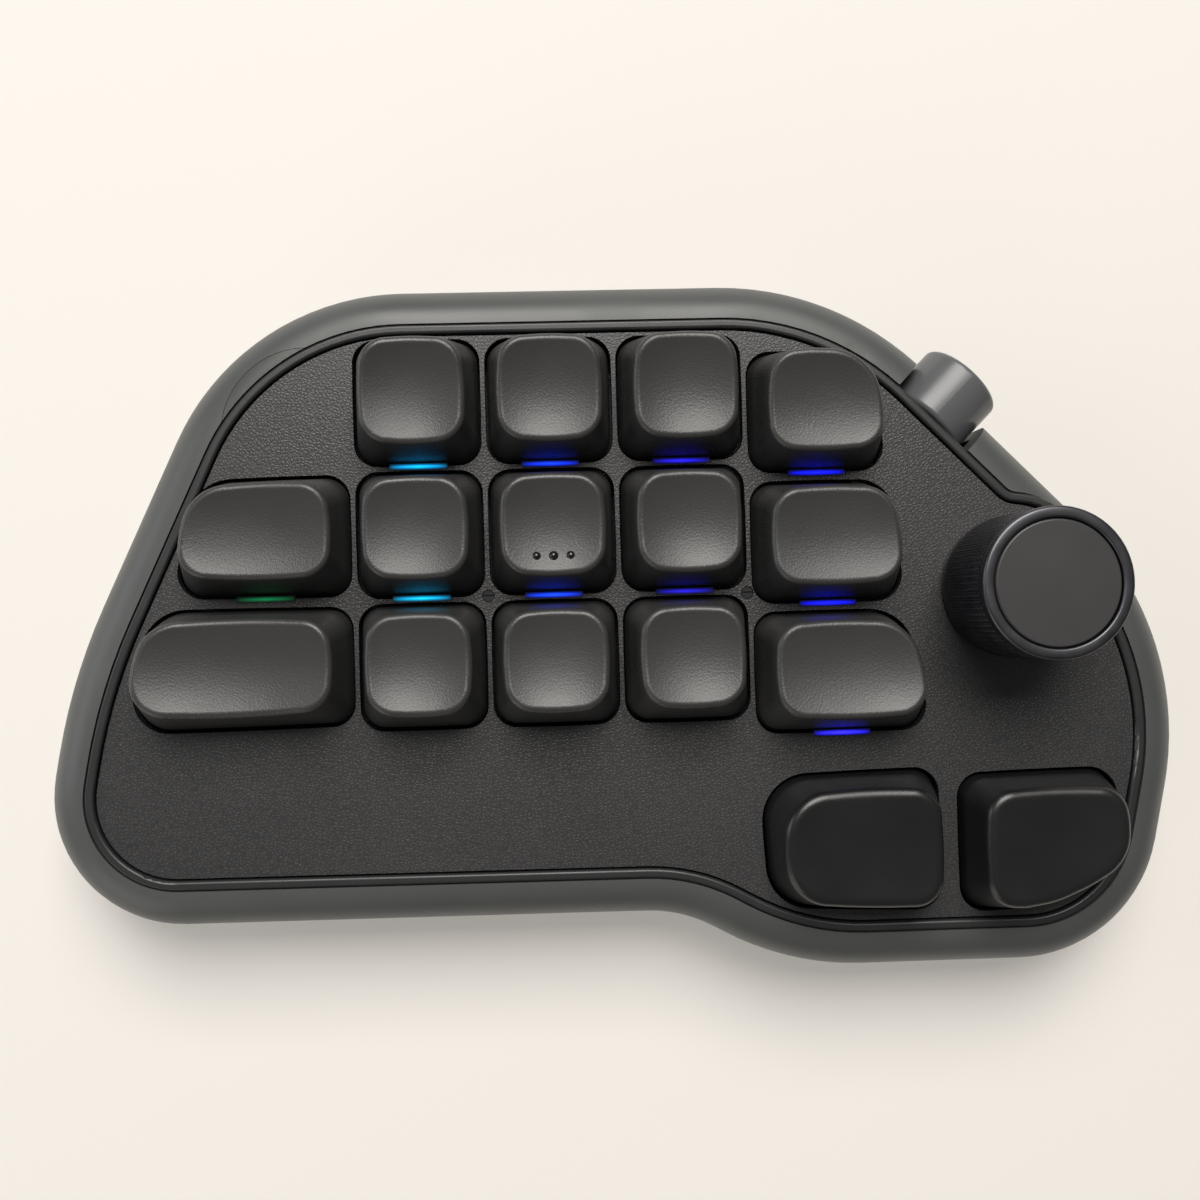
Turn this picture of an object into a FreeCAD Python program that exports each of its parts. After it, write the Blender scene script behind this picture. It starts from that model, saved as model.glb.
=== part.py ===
import FreeCAD, Part
import math
import os

# One-handed keypad with sixteen keys, a large turning knob on the deck and a small knob in its edge.
# Millimetres. The layout is drawn about the centre of the home key with Z = 0 on the desk, and every
# piece is moved at the end so that the origin lies under the middle of the case.

V = FreeCAD.Vector
UP = V(0, 0, 1)

# How far a cutting shape runs past the face that it opens
over = 1.0

# Key layout
pitch = 19.05
reach_column_drop = 2.4
first_row_y = -0.4
key_travel = 4.0
thumb_left_at = (42.2, -46.8)
thumb_right_at = (68.6, -46.4)

# Heights
foot_stand = 1.0
floor_t = 2.2
board_gap = 2.6
board_t = 1.6
switch_seat = 5.0
plate_t = 1.5
deck_top = 20.0
deck_t = 2.0
rim_rise = 0.5

# Case outline: corner points with their radii, clockwise from the upper left
case_corners = [
    (-44.7, 35.7, 37.0),
    (43.7, 35.9, 44.0),
    (96.6, -17.4, 44.0),
    (85.9, -66.2, 22.0),
    (33.4, -65.8, 42.0),
    (17.7, -56.9, 21.0),
    (-77.0, -55.9, 19.0),
    (-70.5, -19.8, 89.0),
]
rim_w = 5.8
wall_t = 2.4
bottom_edge_r = 1.8

# Lip ring round the deck
lip_w = 1.4
lip_flange_w = 1.6
lip_flange_t = 1.5
lip_edge_r = 0.45
lip_fit = 0.1
deck_gap = 0.3
ledge_w = 2.2
ledge_t = 1.6

# Keycaps
cap_base = 17.6
cap_base_r = 3.0
cap_draft = 1.9
cap_top_r = 4.2
cap_base_bow = 0.1
cap_crown_bow = 0.5
bow_share = 0.7
bow_margin = 1.1
cap_wall = 1.2
cap_inner_r = 6.8
cap_roof = 1.5
cap_skirt = 1.5
cap_edge_r = 0.8
thumb_edge_r = 1.1
cap_blank_over = 1.6
cap_boss_into_roof = 0.4
cell_gap = 0.35
row_rise = {"top": 9.5, "home": 8.7, "bottom": 9.0, "thumb": 7.8}
row_back = {"top": 0.4, "home": 0.5, "bottom": 0.55, "thumb": 0.0}
row_squeeze = {"top": 0.0, "home": 0.04, "bottom": 0.04, "thumb": 0.0}
row_tilt = {"top": 4.0, "home": 0.0, "bottom": -4.0, "thumb": 0.0}
dish_depth = 1.2
dish_r = 25.0
dish_half_w = 13.0
dish_half_l = 28.0
dish_cut_h = 6.0
wide_dish_r = 60.0
thumb_dish_depth = 0.4
thumb_dish_r = 120.0
dot_r = 0.6
dot_pitch = 2.4
dot_rise = 0.35
dot_below_centre = 4.0

# Key switches
cutout = 14.0
cutout_fit = 0.05
flange_w = 15.6
flange_t = 1.0
housing_h = 6.6
housing_foot_w = 13.6
housing_top_w = 11.0
housing_corner_r = 3.0
housing_wall = 1.0
slider_w = 7.0
slider_d = 5.6
slider_fit = 0.1
collar_w = 8.6
collar_d = 7.2
collar_t = 1.5
tail_gap = 0.2
tail_w = 5.0
tail_d = 4.0
guide_r = 1.2
guide_h = 3.0
guide_gap = 0.3
cross_w = 4.0
cross_t = 1.3
cross_h = 3.6
cross_fit = 0.03
cross_end_gap = 0.2
cap_boss_r = 2.75
pin_r = 1.95
pin_h = 3.2
pin_fit = 0.1
pin_floor_t = 0.4

# Lights under the keys
led_w = 3.2
led_d = 2.8
led_h = 1.8
led_fit = 0.2
led_below_centre = 5.1
led_sunk = 0.9

# Main knob on the deck
knob_at = (67.2, -10.3)
knob_r = 10.4
knob_h = 18.0
knob_gap = 0.7
knob_edge_r = 0.5
knob_cap_r = 8.65
knob_cap_t = 1.6
knob_cap_gap = 0.15
knob_cap_drop = 0.25
knob_cap_edge_r = 0.3
knob_shoulder_r = 13.9
knob_shoulder_blend = 2.5
knob_recess_r = 7.2
knob_recess_h = 3.6
knob_push = 0.5
knob_push_gap = 0.2
shaft_cover = 3.6
shaft_end_gap = 0.1

# Encoder under the main knob
enc_w = 12.0
enc_body_h = 6.5
enc_wall = 1.0
enc_bush_r = 3.5
enc_bush_above_deck = 2.6
enc_hole_fit = 0.1
enc_shaft_r = 3.0
enc_run_fit = 0.05
enc_rotor_r = 4.4
enc_rotor_h = 2.4
enc_rotor_gap = 0.35
enc_flat = 1.5
enc_neck = 0.6
nut_w = 10.0
nut_t = 2.0
nut_fit = 0.02
knob_bore_fit = 0.04

# Side knob in the upper right edge
side_from = (53.8, 12.1)
side_deg = 45.0
side_axis_z = 13.2
side_r = 6.6
side_out = 3.8
side_edge_r = 0.8
side_slot_gap = 0.4
side_end_gap = 0.35
side_shaft_r = 2.0
side_shaft_flat = 0.6
side_bore_depth = 6.0
side_body_w = 10.0
side_body_h = 6.2
side_body_d = 4.0
side_body_gap = 0.5
side_board_t = 1.0
side_body_wall = 1.0
side_shaft_gap = 0.2
side_room = 0.6

# Socket in the upper left edge, with the crescent insert above it
port_from = (-35.0, 14.9)
port_deg = 132.6
port_w = 8.94
port_h = 3.26
port_len = 7.4
port_shell_t = 0.3
port_corner_r = 1.4
port_tongue_w = 6.7
port_tongue_t = 0.7
port_fit = 0.25
port_back = 1.4
port_recess_w = 12.4
port_recess_h = 6.4
port_board_w = 11.0
port_board_gap = 0.9
insert_r = 11.9
insert_depth = 2.6
insert_fit = 0.08
port_recess_over = 0.2
port_hole_out = 4.0
port_back_wall_t = 1.2
port_tongue_root = 0.2
port_tongue_in = 0.6

# Fastenings and feet
post_r = 3.0
post_core_r = 0.9
case_screw_r = 0.85
case_screw_len = 8.0
case_screw_head_r = 1.9
case_screw_head_t = 1.2
case_screw_room = 0.25
case_screw_slot_w = 0.5
case_screw_slot_l = 2.6
case_screw_slot_h = 0.6
post_from_edge = 5.6
post_bearings = [90.0, 60.0, 157.0, 208.0, 262.0, 318.0, 352.0]
board_post_r = 2.4
board_screw_r = 0.8
board_screw_head_r = 1.5
board_screw_head_t = 0.9
board_screw_len = 3.6
board_screw_fit = 0.1
board_screw_at = [(-28.5, 9.6), (9.5, 9.5), (-9.5, -28.6), (57.0, -28.0), (-54.0, -34.0)]
board_inset = 9.5
plate_inset = 8.8
deck_screw_at = [(-9.5, -9.55), (28.2, -10.1)]
deck_screw_r = 0.5
deck_screw_fit = 0.05
deck_screw_slot = 0.3
deck_screw_head_r = 0.8
deck_screw_head_t = 0.7
deck_screw_room = 0.12
deck_pillar_r = 1.1
chip_at = (-42.0, -40.0)
chip_w = 7.0
chip_t = 0.9
foot_r = 5.0
foot_sunk = 0.4
foot_edge_r = 0.4
foot_fit = 0.1
foot_at = [(-28.0, 20.0), (44.0, 14.0), (-60.0, -38.0), (10.0, -44.0), (70.0, -50.0)]

# Heights worked out from the values above
case_z = foot_stand
floor_top = case_z + floor_t
board_z = floor_top + board_gap
board_top = board_z + board_t
plate_top = board_top + switch_seat
plate_z = plate_top - plate_t
deck_z = deck_top - deck_t
rim_top = deck_top + rim_rise
ring_z = deck_z - lip_flange_t
ledge_z = ring_z - ledge_t
cap_z = deck_top - cap_skirt
housing_top = plate_top + housing_h


def rounded(corners):
    """Closed wire through corner points with radii: straight runs joined by tangent arcs."""
    arcs = []
    count = len(corners)
    for i in range(count):
        here = V(corners[i][0], corners[i][1], 0)
        back = V(corners[i - 1][0], corners[i - 1][1], 0) - here
        ahead = V(corners[(i + 1) % count][0], corners[(i + 1) % count][1], 0) - here
        back.normalize()
        ahead.normalize()
        half = back.getAngle(ahead) / 2
        reach = corners[i][2] / math.tan(half)
        middle = (back + ahead).normalize()
        crown = here + middle * (corners[i][2] / math.sin(half) - corners[i][2])
        arcs.append((here + back * reach, crown, here + ahead * reach))
    edges = []
    for i in range(count):
        edges.append(Part.Arc(*arcs[i]).toShape())
        edges.append(Part.LineSegment(arcs[i][2], arcs[(i + 1) % count][0]).toShape())
    return Part.Wire(edges)


def drawn_in(corners, distance, gain=0.0):
    """The corner points moved in square to their sides, each radius grown by gain."""
    moved = []
    count = len(corners)
    for i in range(count):
        here = V(corners[i][0], corners[i][1], 0)
        back = V(corners[i - 1][0], corners[i - 1][1], 0) - here
        ahead = V(corners[(i + 1) % count][0], corners[(i + 1) % count][1], 0) - here
        back.normalize()
        ahead.normalize()
        half = back.getAngle(ahead) / 2
        point = here + (back + ahead).normalize() * (distance / math.sin(half))
        moved.append((point.x, point.y, corners[i][2] + gain))
    return moved


def raised(shape, z):
    """A copy of a shape moved up by z."""
    copy = shape.copy()
    copy.translate(V(0, 0, z))
    return copy


def slab(wire, z0, z1):
    """The solid inside a flat closed wire, from z0 up to z1."""
    return Part.Face(raised(wire, z0)).extrude(V(0, 0, z1 - z0))


def redrawn(wire):
    """The same wire drawn afresh with plain lines and arcs."""
    edges = []
    for edge in Part.__sortEdges__(wire.Edges):
        start = edge.Vertexes[0].Point
        end = edge.Vertexes[-1].Point
        if isinstance(edge.Curve, Part.Line):
            edges.append(Part.LineSegment(start, end).toShape())
        else:
            halfway = edge.valueAt((edge.FirstParameter + edge.LastParameter) / 2)
            edges.append(Part.Arc(start, halfway, end).toShape())
    return Part.Wire(edges)


def inset(wire, distance):
    """The wire moved inwards by distance, or outwards where it is negative."""
    return wire.makeOffset2D(-distance, 0, False, False, False)


def box(x, y, z0, w, d, h):
    """A box centred on x and y and standing on z0."""
    return Part.makeBox(w, d, h, V(x - w / 2, y - d / 2, z0))


def rod(x, y, z0, r, h):
    """An upright cylinder standing on z0."""
    return Part.makeCylinder(r, h, V(x, y, z0), UP)


def level_edges(shape, z):
    """The edges of a shape that lie level at one height."""
    return [e for e in shape.Edges if max(abs(e.BoundBox.ZMin - z), abs(e.BoundBox.ZMax - z)) < 1e-4]


def frustum(x, y, z0, z1, w0, w1, r0, r1):
    """A square taper between two heights."""
    low = rounded(square(w0 / 2, r0))
    high = rounded(square(w1 / 2, r1))
    solid = Part.makeLoft([raised(low, z0), raised(high, z1)], True, True)
    solid.translate(V(x, y, 0))
    return solid


def square(half, r):
    """Corner points of a square, clockwise from the upper left."""
    return [(-half, half, r), (half, half, r), (half, -half, r), (-half, -half, r)]


case_wire = rounded(case_corners)


def edge_point(start, deg):
    """Where a level ray from start meets the case outline."""
    direction = V(math.cos(math.radians(deg)), math.sin(math.radians(deg)), 0)
    origin = V(start[0], start[1], 0)
    ray = Part.makeLine(origin, origin + direction * 60)
    return ray.distToShape(case_wire)[1][0][0]


def facing_out(shape, point, deg, z):
    """A piece drawn along +X is set on a point of the outline, +X pointing out of the case."""
    copy = shape.copy()
    copy.rotate(V(0, 0, 0), UP, deg)
    copy.translate(V(point.x, point.y, z))
    return copy


side_point = edge_point(side_from, side_deg)
port_point = edge_point(port_from, port_deg)


def on_side_axis(shape):
    """A piece drawn along +X from the edge of the case is set on the side knob's axis."""
    return facing_out(shape, side_point, side_deg, side_axis_z)


def lip_outline():
    """Inside of the rim: the case outline drawn in, widened by the round shoulder beside the knob."""
    field = slab(inset(case_wire, rim_w), 0, over)
    shoulder = rod(knob_at[0], knob_at[1], 0, knob_shoulder_r, over)
    joined = field.fuse(shoulder).removeSplitter()
    centre = V(knob_at[0], knob_at[1], over / 2)
    blend = []
    for edge in joined.Edges:
        off = abs((edge.CenterOfMass - centre).Length - knob_shoulder_r)
        if edge.BoundBox.ZLength > over / 2 and off < knob_shoulder_r / 1000:
            blend.append(edge)
    joined = joined.makeFillet(knob_shoulder_blend, blend)
    floor = min(joined.Faces, key=lambda face: face.CenterOfMass.z)
    return redrawn(floor.OuterWire)


lip_wire = lip_outline()


# Keys

half = cap_base / 2
square_key = square(half, cap_base_r)
pinky_home = [(-10.5, 8.2, 6.6), (11.3, 8.6, 3.2), (11.3, -8.4, 3.0), (-13.4, -8.1, 3.4)]
pinky_bottom = [(-13.6, 8.8, 6.2), (14.8, 8.6, 3.0), (14.8, -7.9, 3.0), (-17.0, -8.2, 4.8)]
reach_top = [(-8.4, 8.5, 3.2), (9.6, 8.5, 7.6), (11.2, -8.6, 3.4), (-8.4, -8.6, 3.0)]
reach_home = [(-9.7, 8.5, 3.0), (10.5, 8.5, 5.0), (12.1, -8.7, 3.6), (-9.7, -8.7, 3.0)]
reach_bottom = [(-11.1, 8.5, 3.0), (10.9, 8.5, 6.5), (14.0, -8.7, 3.4), (-11.1, -8.6, 3.0)]
thumb_left = [(-12.8, 9.6, 6.6), (13.0, 10.1, 3.4), (13.0, -10.2, 3.4), (-11.8, -9.0, 6.2)]
thumb_right = [(-10.0, 8.6, 3.4), (13.0, 8.9, 4.0), (14.0, -4.4, 7.0), (1.6, -10.7, 16.0),
               (-10.0, -11.1, 3.4)]


def beside_columns(reach):
    """Distance from the middle column to a wide key's switch, with the same gap as between columns."""
    column_gap = pitch - cap_base
    return pitch + half + column_gap + reach


def key_table():
    """Each key as (name, switch x, switch y, base corners about the switch, row, dish radius)."""
    keys = []
    row_y = {"top": first_row_y + pitch, "home": first_row_y, "bottom": first_row_y - pitch}
    for row, y in row_y.items():
        keys.append(("ring_" + row, -pitch, y, square_key, row, dish_r))
        keys.append(("middle_" + row, 0.0, y, square_key, row, dish_r))
        keys.append(("index_" + row, pitch, y, square_key, row, dish_r))
    for row, corners in (("home", pinky_home), ("bottom", pinky_bottom)):
        x = -beside_columns(max(px for px, py, r in corners))
        keys.append(("pinky_" + row, x, row_y[row], corners, row, wide_dish_r))
    for row, corners in (("top", reach_top), ("home", reach_home), ("bottom", reach_bottom)):
        x = beside_columns(-min(px for px, py, r in corners))
        keys.append(("reach_" + row, x, row_y[row] - reach_column_drop, corners, row, wide_dish_r))
    keys.append(("thumb_left", *thumb_left_at, thumb_left, "thumb", thumb_dish_r))
    keys.append(("thumb_right", *thumb_right_at, thumb_right, "thumb", thumb_dish_r))
    return keys


keys = key_table()


def softened(corners, least):
    """The same corner points with no radius under the least one."""
    return [(x, y, max(r, least)) for x, y, r in corners]


def tangent_length(corners, i):
    """How far a corner's arc reaches along its two sides."""
    here = V(corners[i][0], corners[i][1], 0)
    back = V(corners[i - 1][0], corners[i - 1][1], 0) - here
    ahead = V(corners[(i + 1) % len(corners)][0], corners[(i + 1) % len(corners)][1], 0) - here
    return corners[i][2] / math.tan(back.getAngle(ahead) / 2)


def bowed(corners, bulge):
    """The outline with a wide arc in the straight part of each side, pushed out by bulge."""
    points = []
    count = len(corners)
    for i in range(count):
        j = (i + 1) % count
        here = V(corners[i][0], corners[i][1], 0)
        side = V(corners[j][0], corners[j][1], 0) - here
        start = bow_margin * tangent_length(corners, i)
        end = side.Length - bow_margin * tangent_length(corners, j)
        along = (start + end) / 2
        turn = math.atan(bulge / along) + math.atan(bulge / (side.Length - along))
        radius = bow_share * (end - start) / 2 / math.tan(turn / 2)
        outward = V(-side.y, side.x, 0).normalize()
        middle = here + side * (along / side.Length) + outward * bulge
        points.append(corners[i])
        points.append((middle.x, middle.y, radius))
    return points


def key_taper(low, high, z0, z1):
    """A straight-sided taper between two outlines given by their corner points."""
    return Part.makeLoft([raised(rounded(low), z0), raised(rounded(high), z1)], True, True)


def dish_cutter(r_along, r_across, tilt, z):
    """What is cut away over a finger dish: an arc across the key, swung on a wider arc along it."""
    w = dish_half_w
    lift = r_across - math.sqrt(r_across ** 2 - w ** 2)
    top = lift + dish_cut_h
    arc = Part.Arc(V(0, -w, lift), V(0, 0, 0), V(0, w, lift)).toShape()
    corners = [V(0, w, lift), V(0, w, top), V(0, -w, top), V(0, -w, lift)]
    profile = Part.Wire([arc] + [Part.makeLine(corners[i], corners[i + 1]) for i in range(3)])
    swing = math.degrees(math.asin(min(0.9, dish_half_l / r_along)))
    face = Part.Face(profile)
    face.rotate(V(0, 0, r_along), V(0, 1, 0), -swing)
    cutter = face.revolve(V(0, 0, r_along), V(0, 1, 0), 2 * swing)
    cutter.rotate(V(0, 0, 0), V(1, 0, 0), tilt)
    cutter.translate(V(0, 0, z))
    return cutter


def keycap(name, x, y, corners, row, dish_along):
    """A hollow keycap with a dished top, standing on the cross of its switch."""
    thumb = row == "thumb"
    depth = thumb_dish_depth if thumb else dish_depth
    across = thumb_dish_r if thumb else dish_r
    rise = row_rise[row]
    dish_z = deck_top + rise - depth
    blank_top = deck_top + rise + cap_blank_over
    full = blank_top - cap_z
    lean = cap_draft / (rise + cap_skirt)
    drawn = drawn_in(softened(corners, cap_top_r), lean * full)
    crown = [(px, py * (1 - row_squeeze[row]) + row_back[row], r) for px, py, r in drawn]
    cap = key_taper(bowed(corners, cap_base_bow), bowed(crown, cap_crown_bow), cap_z, blank_top)
    cap = cap.cut(dish_cutter(dish_along, across, row_tilt[row], dish_z))
    rim = [e for e in cap.Edges if e.BoundBox.ZMin > dish_z - cap_edge_r / 3]
    cap = cap.makeFillet(thumb_edge_r if thumb else cap_edge_r, rim)
    roof_z = dish_z - cap_roof
    room = roof_z - cap_z
    bounded = [(px, py, min(r, cap_inner_r + cap_wall)) for px, py, r in corners]
    mouth = drawn_in(bounded, cap_wall, -cap_wall)
    ceiling = drawn_in(bounded, cap_wall + lean * room, -cap_wall)
    hollow = key_taper(mouth, ceiling, cap_z, roof_z)
    cap = cap.cut(hollow)
    boss = rod(0, 0, housing_top, cap_boss_r, roof_z + cap_boss_into_roof - housing_top)
    cap = cap.fuse(boss)
    depth = cross_h + cross_end_gap
    for w, d in ((cross_w, cross_t), (cross_t, cross_w)):
        cap = cap.cut(box(0, 0, housing_top, w + 2 * cross_fit, d + 2 * cross_fit, depth))
    if name == "middle_home":
        cap = cap.fuse(home_dots(dish_z, across))
    cap.translate(V(x, y, 0))
    return cap


def home_dots(dish_z, dish_radius):
    """Three raised dots in a row that a finger finds on the home key."""
    surface = dish_z + dot_below_centre ** 2 / (2 * dish_radius)
    z = surface + dot_rise - dot_r
    dots = []
    for i in (-1, 0, 1):
        dots.append(Part.makeSphere(dot_r, V(i * dot_pitch, -dot_below_centre, z)))
    return group(dots)


def group(solids):
    """Several separate solids kept as one shape."""
    return Part.makeCompound(solids)


def stem(x, y):
    """The sliding stem of one switch: cross, block, collar and guide pin."""
    collar_z = housing_top - housing_wall - collar_t - slider_fit
    tail_z = board_top + housing_wall + key_travel + tail_gap
    block = box(0, 0, collar_z, slider_w, slider_d, housing_top - collar_z)
    collar = box(0, 0, collar_z, collar_w, collar_d, collar_t)
    tail = box(0, 0, tail_z, tail_w, tail_d, collar_z - tail_z)
    guide = rod(0, 0, tail_z - guide_h, guide_r, guide_h)
    body = block.fuse([collar, tail, guide])
    body = body.fuse(box(0, 0, housing_top, cross_w, cross_t, cross_h))
    body = body.fuse(box(0, 0, housing_top, cross_t, cross_w, cross_h))
    body = body.removeSplitter()
    body.translate(V(x, y, 0))
    return body


def switch_base(x, y):
    """Lower half of a switch housing: it clips into the plate and its pin goes through the board."""
    body = box(0, 0, board_top, cutout - 2 * cutout_fit, cutout - 2 * cutout_fit, switch_seat)
    body = body.fuse(box(0, 0, plate_top, flange_w, flange_w, flange_t))
    body = body.fuse(rod(0, 0, board_top - pin_h, pin_r, pin_h))
    inner = cutout - 2 * cutout_fit - 2 * housing_wall
    body = body.cut(box(0, 0, board_top + housing_wall, inner, inner, switch_seat + flange_t))
    well_z = board_top - pin_h + pin_floor_t
    body = body.cut(rod(0, 0, well_z, guide_r + guide_gap, pin_h + housing_wall))
    body.translate(V(x, y, 0))
    return body.removeSplitter()


def switch_cover(x, y):
    """Upper half of a switch housing, with the window that the stem slides in."""
    z0 = plate_top + flange_t
    corner_r = housing_corner_r
    shell = frustum(0, 0, z0, housing_top, housing_foot_w, housing_top_w, corner_r, corner_r)
    inner_foot = housing_foot_w - 2 * housing_wall
    inner_top = housing_top_w - 2 * housing_wall
    inner_r = housing_corner_r - housing_wall
    inner_z = housing_top - housing_wall
    shell = shell.cut(frustum(0, 0, z0, inner_z, inner_foot, inner_top, inner_r, inner_r))
    window_w = slider_w + 2 * slider_fit
    window_d = slider_d + 2 * slider_fit
    shell = shell.cut(box(0, 0, z0, window_w, window_d, housing_h))
    shell.translate(V(x, y, 0))
    return shell


def key_led(x, y):
    """The small light that shines up through the board in front of a switch's middle."""
    return box(x, y - led_below_centre, board_z - led_sunk, led_w, led_d, led_h)


# Case

def post_places():
    """Centres of the screw posts, a set distance inside the outline in chosen directions."""
    middle = (case_wire.BoundBox.Center.x, case_wire.BoundBox.Center.y)
    places = []
    run = inset(case_wire, post_from_edge)
    for deg in post_bearings:
        direction = V(math.cos(math.radians(deg)), math.sin(math.radians(deg)), 0)
        origin = V(middle[0], middle[1], 0)
        ray = Part.makeLine(origin, origin + direction * 120)
        places.append(ray.distToShape(run)[1][0][0])
    return places


posts = post_places()


def rim_blank():
    """The upper case as a plain block whose top edge is rounded over the full width of the rim."""
    block = slab(case_wire, floor_top, rim_top)
    return block.makeFillet(rim_w, level_edges(block, rim_top))


def side_slot():
    """What the case loses for the side knob and its encoder."""
    room = side_r + side_slot_gap
    start = -(rim_w + lip_fit)
    slot = Part.makeBox(rim_w + 2 * side_r, 2 * room, 3 * room, V(start, -room, -room))
    back = side_body_gap + side_body_d + side_board_t + side_room
    half_w = side_body_w / 2 + side_room
    half_h = side_body_h / 2 + side_room
    pocket = Part.makeBox(back, 2 * half_w, 2 * half_h, V(start - back, -half_w, -half_h))
    return on_side_axis(slot.fuse(pocket))


def port_solid(w, h, r, x0, x1):
    """A flat-sided round-ended prism along +X."""
    corners = [(-w / 2, h / 2, r), (w / 2, h / 2, r), (w / 2, -h / 2, r), (-w / 2, -h / 2, r)]
    wire = rounded(corners)
    wire.rotate(V(0, 0, 0), V(1, 0, 0), 90)
    wire.rotate(V(0, 0, 0), UP, 90)
    wire.translate(V(x0, 0, 0))
    return Part.Face(wire).extrude(V(x1 - x0, 0, 0))


port_z = board_top + port_h / 2


def at_port(shape):
    """A piece drawn along +X from the edge of the case is set in the socket's place."""
    return facing_out(shape, port_point, port_deg, port_z)


def insert_cylinder(r, z0):
    """The round outline of the crescent insert."""
    return rod(port_from[0], port_from[1], z0, r, insert_depth + over)


def upper_case():
    """Grey shell: rounded rim, wall, inner ledge, screw posts, side slot and socket opening."""
    shell = rim_blank()
    shell = shell.cut(slab(inset(case_wire, wall_t), floor_top, ledge_z))
    shell = shell.cut(slab(inset(lip_wire, ledge_w), ledge_z, rim_top))
    shell = shell.cut(key_cells(ledge_z, ring_z))
    for place in posts:
        shell = shell.fuse(rod(place.x, place.y, floor_top, post_r, ledge_z - floor_top))
        shell = shell.cut(rod(place.x, place.y, floor_top, post_core_r, case_screw_len))
    shell = shell.cut(slab(inset(lip_wire, -lip_fit), ring_z, rim_top))
    shell = shell.cut(insert_cylinder(insert_r + insert_fit, rim_top - insert_depth))
    shell = shell.cut(side_slot())
    inner = -wall_t - port_hole_out
    hole = port_solid(port_w + 2 * port_fit, port_h + 2 * port_fit, port_corner_r, inner, port_hole_out)
    recess_from = port_recess_over - port_back
    recess = port_solid(port_recess_w, port_recess_h, port_corner_r, recess_from, port_hole_out)
    shell = shell.cut(at_port(hole.fuse(recess)))
    return largest(shell)


def largest(shape):
    """The biggest solid of a shape."""
    return max(shape.Solids, key=lambda solid: solid.Volume)


def port_insert():
    """Crescent-shaped insert let flush into the rim above the socket."""
    piece = rim_blank().common(insert_cylinder(insert_r, rim_top - insert_depth))
    piece = piece.cut(slab(inset(lip_wire, -insert_fit), 0, rim_top + over))
    return largest(piece)


def key_cells(z0, z1):
    """The room that each key needs, as a prism between two heights."""
    cells = []
    for name, x, y, corners, row, along in keys:
        cell = slab(rounded(bowed(drawn_in(corners, -cell_gap, cell_gap), cap_base_bow)), z0, z1)
        cell.translate(V(x, y, 0))
        cells.append(cell)
    return group(cells)


def lip_ring():
    """Black ring let into the rim; the deck drops onto its inner flange."""
    ring = slab(lip_wire, ring_z, rim_top)
    ring = ring.cut(slab(inset(lip_wire, lip_w), deck_z, rim_top))
    ring = ring.cut(slab(inset(lip_wire, lip_w + lip_flange_w), ring_z, deck_z))
    ring = ring.makeFillet(lip_edge_r, level_edges(ring, rim_top))
    return largest(ring.cut(key_cells(ring_z, rim_top)))


def deck():
    """Black top plate with a cell for each key, the knob's hole and two screw seats."""
    plate = slab(inset(lip_wire, lip_w + deck_gap), deck_z, deck_top)
    for x, y in deck_screw_at:
        plate = plate.fuse(rod(x, y, plate_top, deck_pillar_r, deck_z - plate_top))
    plate = plate.cut(key_cells(deck_z, deck_top))
    plate = plate.cut(rod(knob_at[0], knob_at[1], deck_z, enc_bush_r + enc_hole_fit, deck_t))
    for x, y in deck_screw_at:
        seat_z = deck_top - deck_screw_head_t - deck_screw_room
        plate = plate.cut(rod(x, y, seat_z, deck_screw_head_r + deck_screw_room, over))
        plate = plate.cut(rod(x, y, plate_top, deck_screw_r + deck_screw_fit, deck_top - plate_top))
    return largest(plate)


def deck_screws():
    """Two small screws that hold the deck down on the switch plate."""
    screws = []
    for x, y in deck_screw_at:
        seat_z = deck_top - deck_screw_head_t - deck_screw_room
        head = rod(x, y, seat_z, deck_screw_head_r, deck_screw_head_t)
        shank = rod(x, y, plate_z, deck_screw_r, seat_z - plate_z)
        slot_z = seat_z + deck_screw_head_t - deck_screw_slot
        slot = box(x, y, slot_z, 2 * deck_screw_head_r, deck_screw_slot, deck_screw_slot)
        screws.append(head.fuse(shank).cut(slot))
    return group(screws)


def bottom_cover():
    """Underside of the case, with posts that carry the board, screw seats and shallow foot seats."""
    cover = slab(case_wire, case_z, floor_top)
    cover = cover.makeFillet(bottom_edge_r, level_edges(cover, case_z))
    for x, y in board_screw_at:
        cover = cover.fuse(rod(x, y, floor_top, board_post_r, board_gap))
        cover = cover.cut(rod(x, y, board_top - board_screw_len, board_screw_r, board_screw_len))
    for place in posts:
        seat = case_screw_head_t + case_screw_room
        cover = cover.cut(rod(place.x, place.y, case_z, case_screw_head_r + case_screw_room, seat))
        cover = cover.cut(rod(place.x, place.y, case_z, case_screw_r + case_screw_room, floor_t))
    for x, y in foot_at:
        cover = cover.cut(rod(x, y, case_z, foot_r + foot_fit, foot_sunk))
    return cover


def case_screws():
    """Screws from below that close the case."""
    screws = []
    for place in posts:
        head_z = case_z + case_screw_room
        head = rod(place.x, place.y, head_z, case_screw_head_r, case_screw_head_t)
        shank = rod(place.x, place.y, head_z, case_screw_r, case_screw_len)
        screw = head.fuse(shank)
        for w, l in ((case_screw_slot_w, case_screw_slot_l), (case_screw_slot_l, case_screw_slot_w)):
            screw = screw.cut(box(place.x, place.y, head_z, w, l, case_screw_slot_h))
        screws.append(screw)
    return group(screws)


def rubber_feet():
    """Round feet glued into the underside."""
    feet = []
    for x, y in foot_at:
        foot = rod(x, y, 0, foot_r, foot_stand + foot_sunk)
        feet.append(foot.makeFillet(foot_edge_r, level_edges(foot, 0)))
    return group(feet)


# Inside

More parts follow.
